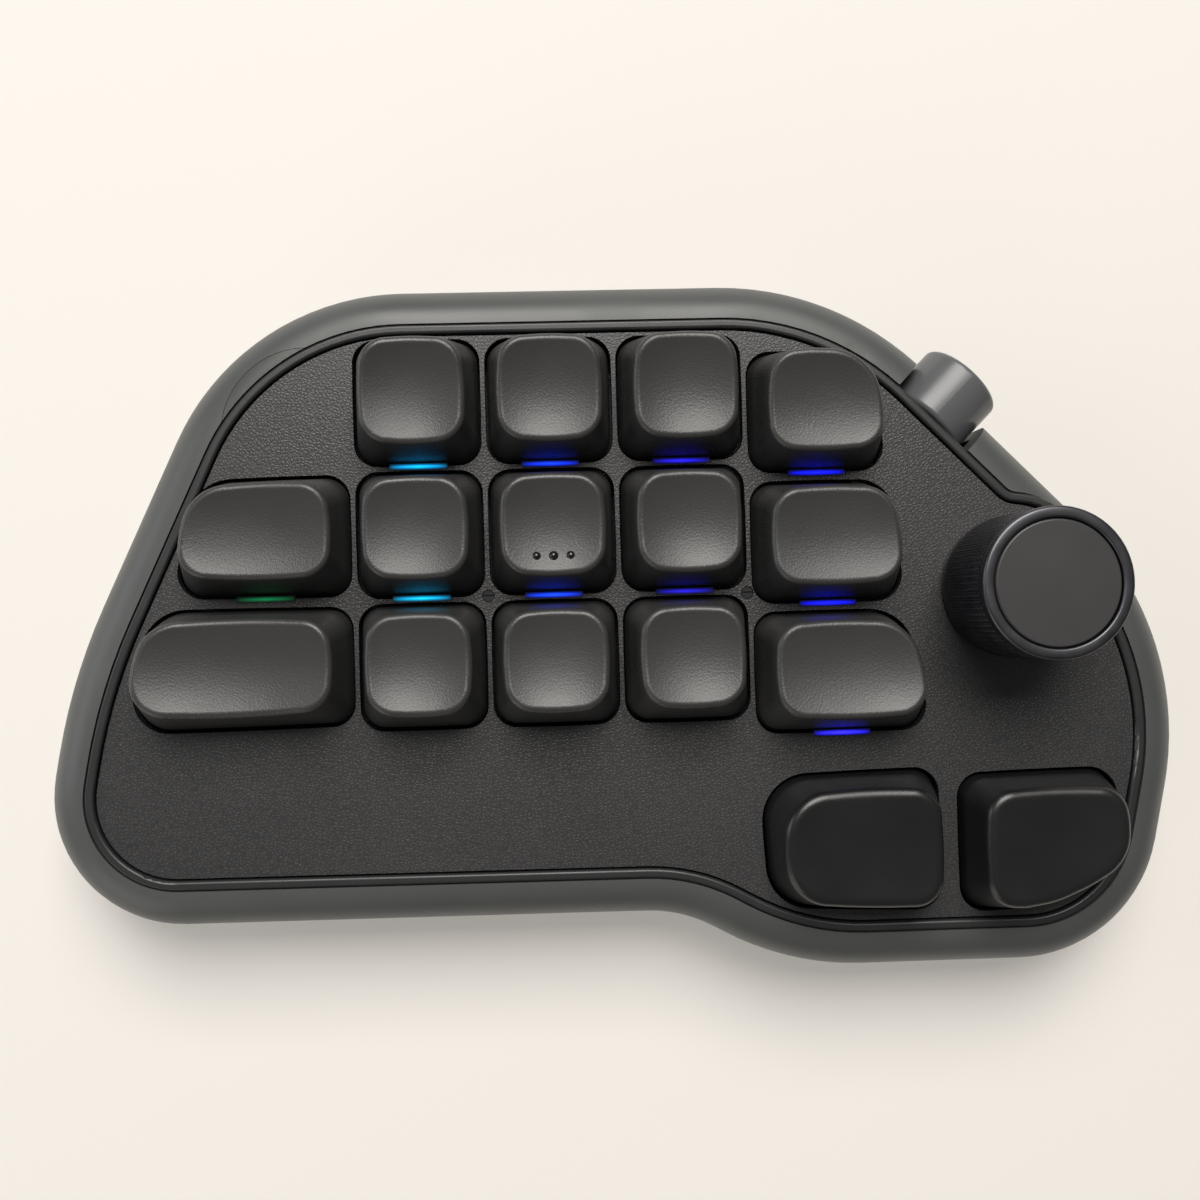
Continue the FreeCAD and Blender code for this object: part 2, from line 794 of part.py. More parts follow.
def circuit_board():
    """The board under the switches, with a tongue that carries the socket."""
    board = slab(inset(case_wire, board_inset), board_z, board_top)
    length = 2 * board_inset
    corner = V(-(wall_t + port_board_gap) - length, -port_board_w / 2, 0)
    tongue = Part.makeBox(length, port_board_w, board_t, corner)
    board = board.fuse(facing_out(tongue, port_point, port_deg, board_z))
    holes = []
    for name, x, y, corners, row, along in keys:
        holes.append(rod(x, y, board_z, pin_r + pin_fit, board_t))
        w, d = led_w + 2 * led_fit, led_d + 2 * led_fit
        holes.append(box(x, y - led_below_centre, board_z, w, d, board_t))
    for x, y in board_screw_at:
        holes.append(rod(x, y, board_z, board_screw_r + board_screw_fit, board_t))
    return largest(board.cut(group(holes)).removeSplitter())


def board_screws():
    """Small screws that hold the board on its posts."""
    screws = []
    for x, y in board_screw_at:
        head = rod(x, y, board_top, board_screw_head_r, board_screw_head_t)
        shank_r = board_screw_r - board_screw_fit / 2
        shank = rod(x, y, board_top - board_screw_len, shank_r, board_screw_len)
        screws.append(head.fuse(shank))
    return group(screws)


def switch_plate():
    """Metal plate that the switches clip into."""
    plate = slab(inset(case_wire, plate_inset), plate_z, plate_top)
    holes = []
    for name, x, y, corners, row, along in keys:
        holes.append(box(x, y, plate_z, cutout, cutout, plate_t))
    room = enc_w + 2 * side_room
    holes.append(box(knob_at[0], knob_at[1], plate_z, room, room, plate_t))
    for x, y in deck_screw_at:
        holes.append(rod(x, y, plate_z, deck_screw_r + deck_screw_fit, plate_t))
    plate = plate.cut(group(holes))
    back = plate_inset + side_body_gap + side_body_d + side_board_t
    half_w = side_body_w / 2 + side_room
    corner = V(-rim_w - side_room - back / 2 - over, -half_w, -side_body_h)
    notch = Part.makeBox(back, 2 * half_w, 2 * side_body_h, corner)
    return largest(plate.cut(on_side_axis(notch)))


def usb_socket():
    """Metal shell of the cable socket with its contact tongue."""
    rear = -port_back - port_len
    shell = port_solid(port_w, port_h, port_corner_r, rear, -port_back)
    inner_w = port_w - 2 * port_shell_t
    inner_h = port_h - 2 * port_shell_t
    inner_r = port_corner_r - port_shell_t
    shell = shell.cut(port_solid(inner_w, inner_h, inner_r, rear + port_back_wall_t, -port_back))
    start = rear + port_back_wall_t - port_tongue_root
    length = -port_back - port_tongue_in - start
    corner = V(start, -port_tongue_w / 2, -port_tongue_t / 2)
    tongue = Part.makeBox(length, port_tongue_w, port_tongue_t, corner)
    return at_port(shell.fuse(tongue))


def controller_chip():
    """The controller on the board, in the clear space under the palm side of the deck."""
    return box(chip_at[0], chip_at[1], board_top, chip_w, chip_w, chip_t)


# Main knob and its encoder

knob_x, knob_y = knob_at
enc_top = board_top + enc_body_h
shaft_top = deck_top + knob_h - shaft_cover
rotor_z = board_top + enc_wall + enc_rotor_gap


def knob_rod(z0, r, h):
    """A cylinder on the main knob's axis."""
    return rod(knob_x, knob_y, z0, r, h)


def main_knob():
    """Metal knob: a thick-walled drum with a recess for the nut and a seat for its top disc."""
    z0 = deck_top + knob_gap
    top = deck_top + knob_h
    drum = knob_rod(z0, knob_r, top - z0)
    drum = drum.makeFillet(knob_edge_r, level_edges(drum, z0) + level_edges(drum, top))
    drum = drum.cut(knob_rod(z0, knob_recess_r, knob_recess_h))
    drum = drum.cut(knob_rod(top - knob_cap_t, knob_cap_r + knob_cap_gap, knob_cap_t))
    bore_h = shaft_top + shaft_end_gap - z0
    bore = shaft_section(enc_shaft_r + knob_bore_fit, enc_flat - knob_bore_fit, z0, bore_h)
    return drum.cut(bore)


def shaft_section(r, flat, z0, h):
    """A D-shaped length of shaft on the main knob's axis: round with one flat."""
    round_part = knob_rod(z0, r, h)
    return round_part.cut(Part.makeBox(4 * r, 2 * r, h, V(knob_x - 2 * r, knob_y + r - flat, z0)))


def main_knob_cap():
    """The disc let into the knob's top, very slightly dished below the ring round it."""
    top = deck_top + knob_h
    disc = knob_rod(top - knob_cap_t, knob_cap_r, knob_cap_t - knob_cap_drop)
    return disc.makeFillet(knob_cap_edge_r, level_edges(disc, top - knob_cap_drop))


def encoder_shaft():
    """Shaft that turns and pushes: round in the bushing, with a flat for the knob and the rotor."""
    bush_top = deck_top + enc_bush_above_deck
    run_top = bush_top + knob_push + knob_push_gap
    lower = shaft_section(enc_shaft_r - enc_neck, enc_flat - enc_neck, rotor_z, enc_top - rotor_z)
    run = knob_rod(enc_top - enc_wall, enc_shaft_r - enc_run_fit, run_top - enc_top + enc_wall)
    upper = shaft_section(enc_shaft_r, enc_flat, run_top, shaft_top - run_top)
    return lower.fuse([run, upper]).removeSplitter()


def encoder_rotor():
    """Contact disc inside the encoder; the shaft slides through it but turns it by the flat."""
    disc = knob_rod(rotor_z, enc_rotor_r, enc_rotor_h)
    neck_r = enc_shaft_r - enc_neck + enc_run_fit
    hole = shaft_section(neck_r, enc_flat - enc_neck - enc_run_fit, rotor_z, enc_rotor_h)
    return disc.cut(hole)


def encoder_body():
    """Encoder housing on the board with the threaded bushing that comes up through the deck."""
    body = box(knob_x, knob_y, board_top, enc_w, enc_w, enc_body_h)
    body = body.fuse(knob_rod(enc_top, enc_bush_r, deck_top + enc_bush_above_deck - enc_top))
    room_z = board_top + enc_wall - knob_push
    room_h = enc_body_h - 2 * enc_wall + knob_push
    body = body.cut(knob_rod(room_z, enc_rotor_r + enc_rotor_gap, room_h))
    body = body.cut(knob_rod(board_top + enc_wall, enc_shaft_r, deck_top))
    return body


def encoder_nut():
    """Hexagon nut that clamps the bushing to the deck, hidden in the knob's recess."""
    corner = nut_w / 2 / math.cos(math.radians(30))
    points = []
    for i in range(7):
        turn = math.radians(60 * i)
        points.append(V(corner * math.cos(turn), corner * math.sin(turn), 0))
    nut = Part.Face(Part.makePolygon(points)).extrude(V(0, 0, nut_t))
    nut.translate(V(knob_x, knob_y, deck_top))
    return nut.cut(knob_rod(deck_top, enc_bush_r + nut_fit, nut_t))


# Side knob and its encoder

def axial(r, x0, x1):
    """A cylinder along +X between two places."""
    return Part.makeCylinder(r, x1 - x0, V(x0, 0, 0), V(1, 0, 0))


side_inner = -(rim_w - side_end_gap)
side_body_x = -(rim_w + side_body_gap + side_body_d)


def d_shaft(r, flat, x0, x1):
    """A D-shaped shaft along +X, its flat on top."""
    return axial(r, x0, x1).cut(Part.makeBox(x1 - x0, 4 * r, 2 * r, V(x0, -2 * r, r - flat)))


def side_knob():
    """Small knob lying in the slot of the rim, its round end standing out of the case."""
    drum = axial(side_r, side_inner, side_out)
    ends = [e for e in drum.Edges if e.BoundBox.XLength < 1e-6]
    drum = drum.makeFillet(side_edge_r, ends)
    bore_r = side_shaft_r + knob_bore_fit
    bore_flat = side_shaft_flat - knob_bore_fit
    bore = d_shaft(bore_r, bore_flat, side_inner, side_inner + side_bore_depth)
    return on_side_axis(drum.cut(bore))


def side_shaft():
    """Shaft of the side encoder, pressed into the side knob."""
    start = side_body_x + side_body_wall
    run = axial(side_shaft_r - enc_run_fit, start, side_inner)
    grip_end = side_inner + side_bore_depth - side_shaft_gap
    grip = d_shaft(side_shaft_r, side_shaft_flat, side_inner, grip_end)
    return on_side_axis(run.fuse(grip))


def side_encoder():
    """Flat encoder housing behind the lip ring."""
    front = side_body_x + side_body_d
    corner = V(side_body_x, -side_body_w / 2, -side_body_h / 2)
    body = Part.makeBox(side_body_d, side_body_w, side_body_h, corner)
    body = body.cut(axial(side_shaft_r, side_body_x + side_body_wall - side_shaft_gap, front))
    return on_side_axis(body)


def side_board():
    """Small upright board that holds the side encoder and stands on the main board."""
    drop = side_axis_z - board_top
    corner = V(side_body_x - side_board_t, -side_body_w / 2, -drop)
    board = Part.makeBox(side_board_t, side_body_w, drop + side_body_h / 2, corner)
    return on_side_axis(board)


# Everything by name

def all_pieces():
    """Each piece of the keypad under its own name."""
    pieces = {
        "upper_case": upper_case(),
        "bottom_cover": bottom_cover(),
        "lip_ring": lip_ring(),
        "deck": deck(),
        "port_insert": port_insert(),
        "usb_socket": usb_socket(),
        "circuit_board": circuit_board(),
        "switch_plate": switch_plate(),
        "switch_bases": group([switch_base(k[1], k[2]) for k in keys]),
        "switch_covers": group([switch_cover(k[1], k[2]) for k in keys]),
        "key_leds": group([key_led(k[1], k[2]) for k in keys]),
        "controller_chip": controller_chip(),
        "main_knob": main_knob(),
        "main_knob_cap": main_knob_cap(),
        "encoder_shaft": encoder_shaft(),
        "encoder_rotor": encoder_rotor(),
        "encoder_body": encoder_body(),
        "encoder_nut": encoder_nut(),
        "side_knob": side_knob(),
        "side_shaft": side_shaft(),
        "side_encoder": side_encoder(),
        "side_board": side_board(),
        "case_screws": case_screws(),
        "board_screws": board_screws(),
        "deck_screws": deck_screws(),
        "rubber_feet": rubber_feet(),
    }
    for key in keys:
        pieces["keycap_" + key[0]] = keycap(*key)
        pieces["stem_" + key[0]] = stem(key[1], key[2])
    return pieces


os.makedirs("parts", exist_ok=True)
middle = case_wire.BoundBox.Center
for name, shape in all_pieces().items():
    shape.translate(V(-middle.x, -middle.y, 0))
    shape.exportStep("parts/" + name + ".step")
    print(name, len(shape.Solids), "solids", round(shape.Volume, 1), "mm3", shape.isValid())
print("origin moved by", round(-middle.x, 3), round(-middle.y, 3))
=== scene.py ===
# %% [markdown]
# # A one-handed keypad with knobs, dressed in its real materials
# The shapes come ready made as a frame. This lesson gives each piece its surface, knurls the big
# knob, lights the keys from below and sets the pad on a pale table under soft light.
# Lengths are metres. A size named in millimetres goes through `mm`.

# %% Load the frame
import math

import bmesh
import bpy
from mathutils import Matrix, Quaternion, Vector


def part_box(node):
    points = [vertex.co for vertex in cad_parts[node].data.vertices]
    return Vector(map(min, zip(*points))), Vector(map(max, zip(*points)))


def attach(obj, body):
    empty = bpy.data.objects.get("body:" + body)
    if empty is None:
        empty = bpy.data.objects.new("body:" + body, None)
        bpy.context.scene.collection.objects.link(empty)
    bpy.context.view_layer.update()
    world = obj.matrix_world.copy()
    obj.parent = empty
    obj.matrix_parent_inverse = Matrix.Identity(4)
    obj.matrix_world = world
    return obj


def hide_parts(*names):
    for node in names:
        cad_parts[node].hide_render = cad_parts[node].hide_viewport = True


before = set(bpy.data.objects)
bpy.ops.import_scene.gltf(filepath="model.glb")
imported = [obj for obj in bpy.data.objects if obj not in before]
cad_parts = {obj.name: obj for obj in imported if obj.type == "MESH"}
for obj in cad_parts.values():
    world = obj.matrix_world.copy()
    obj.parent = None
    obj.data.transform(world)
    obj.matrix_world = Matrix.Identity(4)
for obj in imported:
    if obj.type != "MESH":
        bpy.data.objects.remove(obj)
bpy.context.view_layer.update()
print("pieces in the frame:", len(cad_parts))

# %% [markdown]
# A colour is written as an sRGB hex value, which is what a colour chart gives. Blender mixes light in
# linear values, so one function turns one into the other. A pattern is sized by the width of its
# grain in millimetres, because object coordinates are metres here.

# %% Helpers for units and colours
def mm(length):
    """Millimetres to metres."""
    return length / 1000


def linear(hex_colour):
    """An sRGB hex colour as linear RGBA."""
    channels = []
    for i in (1, 3, 5):
        c = int(hex_colour[i:i + 2], 16) / 255
        channels.append(c / 12.92 if c <= 0.04045 else ((c + 0.055) / 1.055) ** 2.4)
    return (*channels, 1.0)


def grains(width_mm):
    """Texture scale at which one cell of a pattern is that wide."""
    return 1 / mm(width_mm)


print("middle grey in linear light:", round(linear("#808080")[0], 3))

# %% [markdown]
# A finish is a tree of nodes. Each node could be made, set and linked in lines of its own, but one
# small function that takes a node's settings and links keeps a finish to a few lines. Most nodes
# give what is wanted first, so a node can stand for its own first output.

# %% Helpers for nodes
def connect(node, sources):
    """Gives each input a value, another node's output or, for a whole node, its first output."""
    for socket, source in sources.items():
        if isinstance(source, bpy.types.Node):
            source = source.outputs[0]
        if isinstance(source, bpy.types.NodeSocket):
            node.id_data.links.new(source, node.inputs[socket])
        else:
            node.inputs[socket].default_value = source


def add(tree, kind, sources=None, **settings):
    """Adds one shader node with its settings and links."""
    node = tree.nodes.new("ShaderNode" + kind)
    for name, value in settings.items():
        setattr(node, name, value)
    connect(node, sources or {})
    return node


print("a grain of half a millimetre has scale", grains(0.5))

# %% [markdown]
# Every material starts from the Principled shader and the four numbers that say most about it: base
# colour, roughness, index of refraction and whether it is a metal. A metal keeps the default index.
# No real surface has the same gloss all over, so a soft noise lets the roughness wander a little.
# Noise seldom leaves the middle of its range, so that middle is what gets spread.

# %% A plain start for every material
fine_detail = 3.0
noise_low = 0.3
noise_high = 0.7


def surface(name, colour, roughness, ior=1.5, metallic=0.0):
    """A new material with its tree and its shader."""
    made = bpy.data.materials.new(name)
    made.use_nodes = True
    shader = made.node_tree.nodes["Principled BSDF"]
    connect(shader, {"Base Color": linear(colour), "Roughness": roughness, "Metallic": metallic})
    if not metallic:
        connect(shader, {"IOR": ior})
    return made, made.node_tree, shader


def wander(middle, less, more):
    """Range settings that spread a soft noise from a little below a value to a little above."""
    return {"From Min": noise_low, "From Max": noise_high,
            "To Min": middle - less, "To Max": middle + more}


def dress(material, *nodes):
    """Puts one material on pieces of the frame."""
    for name in nodes:
        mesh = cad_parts[name].data
        mesh.materials.clear()
        mesh.materials.append(material)
    print(material.name, "on pieces:", len(nodes))


print("settings of a range:", ", ".join(wander(0.4, less=0.04, more=0.05)))

# %% [markdown]
# The case is PC-ABS, moulded in a spark-eroded tool. That leaves a fine even frost: no gloss line is
# sharp, and the grey looks a little green and chalky. The frost could be real bumps in the mesh, but
# they are hardly wider than a pixel, so a fine noise is read as a bump. A broad noise moves colour
# and gloss slowly, as on a case that has been handled.

# %% Case: spark-eroded PC-ABS
frost_mm = 0.22
frost_depth_mm = 0.012
cloud_mm = 14.0


def spark_eroded_shell(name, dark, light, roughness):
    """Grey moulded shell with an even frost."""
    made, tree, shader = surface(name, light, roughness, ior=1.55)
    place = add(tree, "TexCoord").outputs["Object"]
    cloud = add(tree, "TexNoise", {"Vector": place, "Scale": grains(cloud_mm)})
    frost = add(tree, "TexNoise", {"Vector": place, "Scale": grains(frost_mm), "Detail": fine_detail})
    tint = add(tree, "Mix", {0: cloud, 6: linear(dark), 7: linear(light)}, data_type="RGBA")
    gloss = add(tree, "MapRange", {"Value": cloud, **wander(roughness, less=0.04, more=0.05)})
    relief = add(tree, "Bump", {"Height": frost, "Distance": mm(frost_depth_mm)})
    connect(shader, {"Base Color": tint.outputs[2], "Roughness": gloss, "Normal": relief})
    return made


shell_grey = spark_eroded_shell("pc_abs_spark_eroded_grey", "#4b4e4d", "#535655", 0.43)
insert_grey = spark_eroded_shell("pc_abs_insert_grey", "#424543", "#494c4a", 0.40)
dress(shell_grey, "upper_case", "bottom_cover")
dress(insert_grey, "port_insert")

# %% [markdown]
# The deck is black ABS with a leather grain etched into its tool: rounded islands about half a
# millimetre across with narrow valleys. Plain noise has no islands, but Voronoi cells have that
# outline, and their distance to the edge gives the valley. A softer noise bends the cells, so that
# they don't look like tiles, and fine pits lie over the islands.

# %% Deck: ABS with etched leather grain
leather_mm = 0.5
leather_depth_mm = 0.024
leather_strength = 0.8
bend_mm = leather_mm * 0.8
valley_end = 0.28
pit_mm = 0.25
pit_depth_mm = leather_depth_mm / 4
wear_mm = 22.0


def etched_leather(name, dark, light, roughness):
    """Black moulded plate with leather grain."""
    made, tree, shader = surface(name, light, roughness, ior=1.54)
    place = add(tree, "TexCoord").outputs["Object"]
    bend = add(tree, "TexNoise", {"Vector": place, "Scale": grains(leather_mm * 2)})
    shift = add(tree, "VectorMath", {0: bend, "Scale": mm(bend_mm)}, operation="SCALE")
    bent = add(tree, "VectorMath", {0: place, 1: shift}, operation="ADD")
    cell = add(tree, "TexVoronoi", {"Vector": bent, "Scale": grains(leather_mm)},
               feature="DISTANCE_TO_EDGE")
    rise = {"Value": cell, "From Min": 0.0, "From Max": valley_end, "To Min": 0.0, "To Max": 1.0}
    island = add(tree, "MapRange", rise, interpolation_type="SMOOTHSTEP")
    grained = add(tree, "Bump", {"Height": island, "Distance": mm(leather_depth_mm),
                                 "Strength": leather_strength})
    pits = add(tree, "TexNoise", {"Vector": place, "Scale": grains(pit_mm)})
    pitted = add(tree, "Bump", {"Height": pits, "Distance": mm(pit_depth_mm),
                                "Strength": leather_strength, "Normal": grained})
    wear = add(tree, "TexNoise", {"Vector": place, "Scale": grains(wear_mm), "Detail": fine_detail})
    tint = add(tree, "Mix", {0: island, 6: linear(dark), 7: linear(light)}, data_type="RGBA")
    gloss = add(tree, "MapRange", {"Value": wear, **wander(roughness, less=0.04, more=0.05)})
    connect(shader, {"Base Color": tint.outputs[2], "Roughness": gloss, "Normal": pitted})
    return made


deck_black = etched_leather("abs_etched_leather_black", "#2f2f30", "#3a3a3b", 0.40)
dress(deck_black, "deck")

# %% [markdown]
# The lip ring is the same ABS without the leather grain. It is only satin, and the light of the table
# runs along its rounded edge as a thin line. A perfectly smooth surface would look like glass, so a
# trace of grit stays in the bump. Most other mouldings here are this finish with other numbers.

# %% Lip ring: satin ABS
haze_mm = 9.0


def satin_moulding(name, colour, roughness, grit_mm=0.3, grit_depth_mm=0.006, ior=1.54):
    """Smooth moulded plastic with a trace of grit."""
    made, tree, shader = surface(name, colour, roughness, ior=ior)
    place = add(tree, "TexCoord").outputs["Object"]
    grit = add(tree, "TexNoise", {"Vector": place, "Scale": grains(grit_mm), "Detail": fine_detail})
    haze = add(tree, "TexNoise", {"Vector": place, "Scale": grains(haze_mm)})
    relief = add(tree, "Bump", {"Height": grit, "Distance": mm(grit_depth_mm)})
    gloss = add(tree, "MapRange", {"Value": haze, **wander(roughness, less=0.03, more=0.04)})
    connect(shader, {"Roughness": gloss, "Normal": relief})
    return made


lip_black = satin_moulding("abs_satin_black", "#2b2c2d", 0.38)
dress(lip_black, "lip_ring")

# %% [markdown]
# The keycaps are black PBT. It is moulded with a fine grit, and the grit spreads every reflection
# wide, so the dish of each key glows softly on one side and stays dark on the other. The two thumb
# keys are smoother: the light makes a clear band on their sloped edges. The band needs a wider round
# than the solids have, and a bevel in the shading gives that without a change of shape.

# %% Keycaps: PBT
key_grit_mm = 0.3
key_grit_depth_mm = 0.03
thumb_grit_depth_mm = key_grit_depth_mm / 8
thumb_edge_mm = 1.2
pbt_ior = 1.57
thumb_names = [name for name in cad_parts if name.startswith("keycap_thumb")]
key_names = [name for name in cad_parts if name.startswith("keycap_")]
finger_names = [name for name in key_names if name not in thumb_names]


def soften_edges(material, radius_mm):
    """Shades the edges of a piece as if they were rounded that wide, under its texture."""
    tree = material.node_tree
    bump = next(node for node in tree.nodes if node.type == "BUMP")
    connect(bump, {"Normal": add(tree, "Bevel", {"Radius": mm(radius_mm)}, samples=8)})


key_pbt = satin_moulding("pbt_fine_grit_black", "#393939", 0.37, key_grit_mm, key_grit_depth_mm, pbt_ior)
thumb_pbt = satin_moulding("pbt_smooth_black", "#1b1b1c", 0.30, key_grit_mm, thumb_grit_depth_mm, pbt_ior)
soften_edges(thumb_pbt, thumb_edge_mm)
dress(key_pbt, *finger_names)
dress(thumb_pbt, *thumb_names)

# %% [markdown]
# A finger finds the home key by three raised dots. Use has polished them, so each one carries a
# spark of light. A gloss painted on the cap would have to follow its curve, so a small polished bead
# is laid over each dot instead, and the cap itself says how high its dots stand.

# %% Home dots: polished beads
bead_r = mm(0.74)
bead_over = mm(0.06)
dot_pitch = mm(2.4)
dot_below_centre = mm(4.0)
dot_steps = (-1, 0, 1)


def piece(name, bm):
    """Makes an object of the scene from finished geometry."""
    mesh = bpy.data.meshes.new(name)
    bm.to_mesh(mesh)
    bm.free()
    made = bpy.data.objects.new(name, mesh)
    bpy.context.collection.objects.link(made)
    return made


def beads(key):
    """Polished beads over the raised dots of a key."""
    low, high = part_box("keycap_" + key)
    centre = (low + high) / 2
    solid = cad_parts["keycap_" + key]
    points = [solid.matrix_world @ v.co for v in solid.data.vertices]
    bm = bmesh.new()
    for step in dot_steps:
        at = Vector((centre.x + step * dot_pitch, centre.y - dot_below_centre, 0))
        dot_top = max(p.z for p in points if (p.xy - at.xy).length < bead_r / 2)
        at.z = dot_top + bead_over - bead_r
        spot = Matrix.Translation(at)
        bmesh.ops.create_uvsphere(bm, u_segments=32, v_segments=20, radius=bead_r, matrix=spot)
    made = piece("home_beads", bm)
    made.data.shade_smooth()
    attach(made, "key_" + key)
    return made


pbt_polished = satin_moulding("pbt_polished_black", "#161617", 0.16, grit_depth_mm=0.001, ior=pbt_ior)
home_beads = beads("middle_home")
home_beads.data.materials.append(pbt_polished)
print("beads:", len(dot_steps), "with faces:", len(home_beads.data.polygons))

# %% [markdown]
# The switches are hidden under the caps until a key is looked at from the side. Their housings are
# smooth black nylon, and the stems are red acetal, which feels waxy and shines softly. The chip is
# black moulded epoxy, which is duller. All three are the satin moulding with their own gloss.

# %% Switches: nylon and acetal
stem_names = [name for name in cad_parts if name.startswith("stem_")]
nylon_black = satin_moulding("nylon_black", "#1d1d1e", 0.32,
                             grit_mm=0.5, grit_depth_mm=0.004, ior=1.53)
acetal_red = satin_moulding("acetal_red", "#8c2b25", 0.28,
                            grit_mm=0.8, grit_depth_mm=0.003, ior=1.48)
epoxy_black = satin_moulding("epoxy_moulding_black", "#1b1b1c", 0.55,
                             grit_mm=0.15, grit_depth_mm=0.01, ior=1.55)
dress(nylon_black, "switch_bases", "switch_covers", "encoder_rotor", "side_encoder")
dress(acetal_red, *stem_names)
dress(epoxy_black, "controller_chip")

# %% [markdown]
# Shafts, nut, socket, encoder housing and board screws are nickel-plated steel with the faint streaks
# of rolling and turning. The switch plate and the deck and case screws are blackened steel. On the
# switch plate the black is also painted shade: it keeps the gaps round the keys as dark as the shade
# in them, so nothing bright shows through. Streaks are a noise that is drawn out along one axis: the
# coordinates are squeezed there before the noise reads them.

# %% Steel: plated and blackened
streak_squeeze = (0.04, 1.0, 1.0)
streak_depth_mm = 0.002


def streaked_steel(name, colour, roughness, streak_mm):
    """Steel with fine streaks along X."""
    made, tree, shader = surface(name, colour, roughness, metallic=1.0)
    place = add(tree, "TexCoord").outputs["Object"]
    drawn = add(tree, "Mapping", {"Vector": place, "Scale": streak_squeeze})
    streak = add(tree, "TexNoise", {"Vector": drawn, "Scale": grains(streak_mm), "Detail": fine_detail})
    gloss = add(tree, "MapRange", {"Value": streak, **wander(roughness, less=0.06, more=0.08)})
    relief = add(tree, "Bump", {"Height": streak, "Distance": mm(streak_depth_mm)})
    connect(shader, {"Roughness": gloss, "Normal": relief})
    return made


steel_plated = streaked_steel("steel_nickel_plated", "#b7b8ba", 0.28, streak_mm=0.12)
steel_black = streaked_steel("steel_black_and_gap_shade", "#3b3b3d", 0.42, streak_mm=0.2)
dress(steel_plated, "usb_socket", "encoder_shaft", "encoder_body", "encoder_nut",
      "side_shaft", "board_screws")
# Blackened steel. On the switch plate the black is also painted shade in the gaps round the keys.
dress(steel_black, "switch_plate", "deck_screws", "case_screws")

# %% [markdown]
# The boards are glass-fibre laminate under green solder mask, and the weave of the glass shows
# faintly through it. Two wave textures that cross are multiplied, so the product rises where two
# threads cross. A wave texture packs 3.2 bands into each cell, so its scale is divided by four, which
# leaves the threads a little apart. The feet are matte rubber, and the lights are milky silicone.

# %% Boards, lights and feet
thread_mm = 0.9
thread_depth_mm = 0.004
wave_share = 4


def masked_laminate(name, dark, middle, light, roughness):
    """Circuit board with the glass weave under its mask."""
    made, tree, shader = surface(name, middle, roughness, ior=1.52)
    place = add(tree, "TexCoord").outputs["Object"]
    weave = {"Vector": place, "Scale": grains(thread_mm) / wave_share, "Distortion": 0.4}
    warp = add(tree, "TexWave", weave, bands_direction="X").outputs["Fac"]
    weft = add(tree, "TexWave", weave, bands_direction="Y").outputs["Fac"]
    both = add(tree, "Math", {0: warp, 1: weft}, operation="MULTIPLY")
    tint = add(tree, "Mix", {0: both, 6: linear(dark), 7: linear(light)}, data_type="RGBA")
    relief = add(tree, "Bump", {"Height": both, "Distance": mm(thread_depth_mm)})
    connect(shader, {"Base Color": tint.outputs[2], "Normal": relief})
    return made


board_green = masked_laminate("fr4_green_mask", "#0e2819", "#12301f", "#153826", 0.30)
rubber_black = satin_moulding("rubber_black", "#1e1e1f", 0.72,
                              grit_mm=0.4, grit_depth_mm=0.02, ior=1.52)
lens_white = satin_moulding("silicone_lens_white", "#d8d8cf", 0.22,
                            grit_mm=0.6, grit_depth_mm=0.003, ior=1.41)
dress(board_green, "circuit_board", "side_board")
dress(rubber_black, "rubber_feet")
dress(lens_white, "key_leds")

# %% [markdown]
# The small knob is grey ABS with a satin skin. The disc in the big knob is black ABS with a
# sandblasted face, so its grit is deeper and its shine wider. Both are the satin moulding again: two
# finishes of one plastic differ only in grit and gloss.

# %% Side knob and disc
side_grey = satin_moulding("abs_satin_grey", "#5f6163", 0.30, grit_mm=0.25, grit_depth_mm=0.006)
disc_black = satin_moulding("abs_sandblasted_black", "#3c3c3d", 0.38, grit_mm=0.18, grit_depth_mm=0.012)
dress(side_grey, "side_knob")
dress(disc_black, "main_knob_cap")

# %% [markdown]
# The big knob is turned aluminium, anodised black, and its side is diamond-knurled. A bump map
# can't break the outline, and on a real knurl the outline is what glitters, so the grooves are real
# geometry here: a profile is swept round the axis, and the rows on the side are pulled in by two
# families of grooves that cross. The rest of the profile repeats the plain knob of the frame.

# %% Knob: the profile that is swept
knob_low, knob_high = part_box("main_knob")
disc_low, disc_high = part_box("main_knob_cap")
knob_axis = (knob_low + knob_high) / 2
knob_r = (knob_high.x - knob_low.x) / 2
disc_r = (disc_high.x - disc_low.x) / 2
disc_gap = mm(0.15)
recess_r = mm(7.2)
recess_h = mm(3.6)
bore_r = mm(3.05)
edge_r = mm(0.5)
ring_round = mm(0.3)
knurl_plain = mm(0.5)
knurl_depth = mm(0.24)
knurl_count = 72
knurl_width = 2 * math.pi * knob_r / knurl_count
steps_per_knurl = 5


def quarter(cx, cz, r, start_deg, steps=4):
    """Points of a quarter circle in the profile plane."""
    points = []
    for i in range(steps + 1):
        angle = math.radians(start_deg + 90 * i / steps)
        points.append((cx + r * math.cos(angle), cz + r * math.sin(angle), 0.0))
    return points


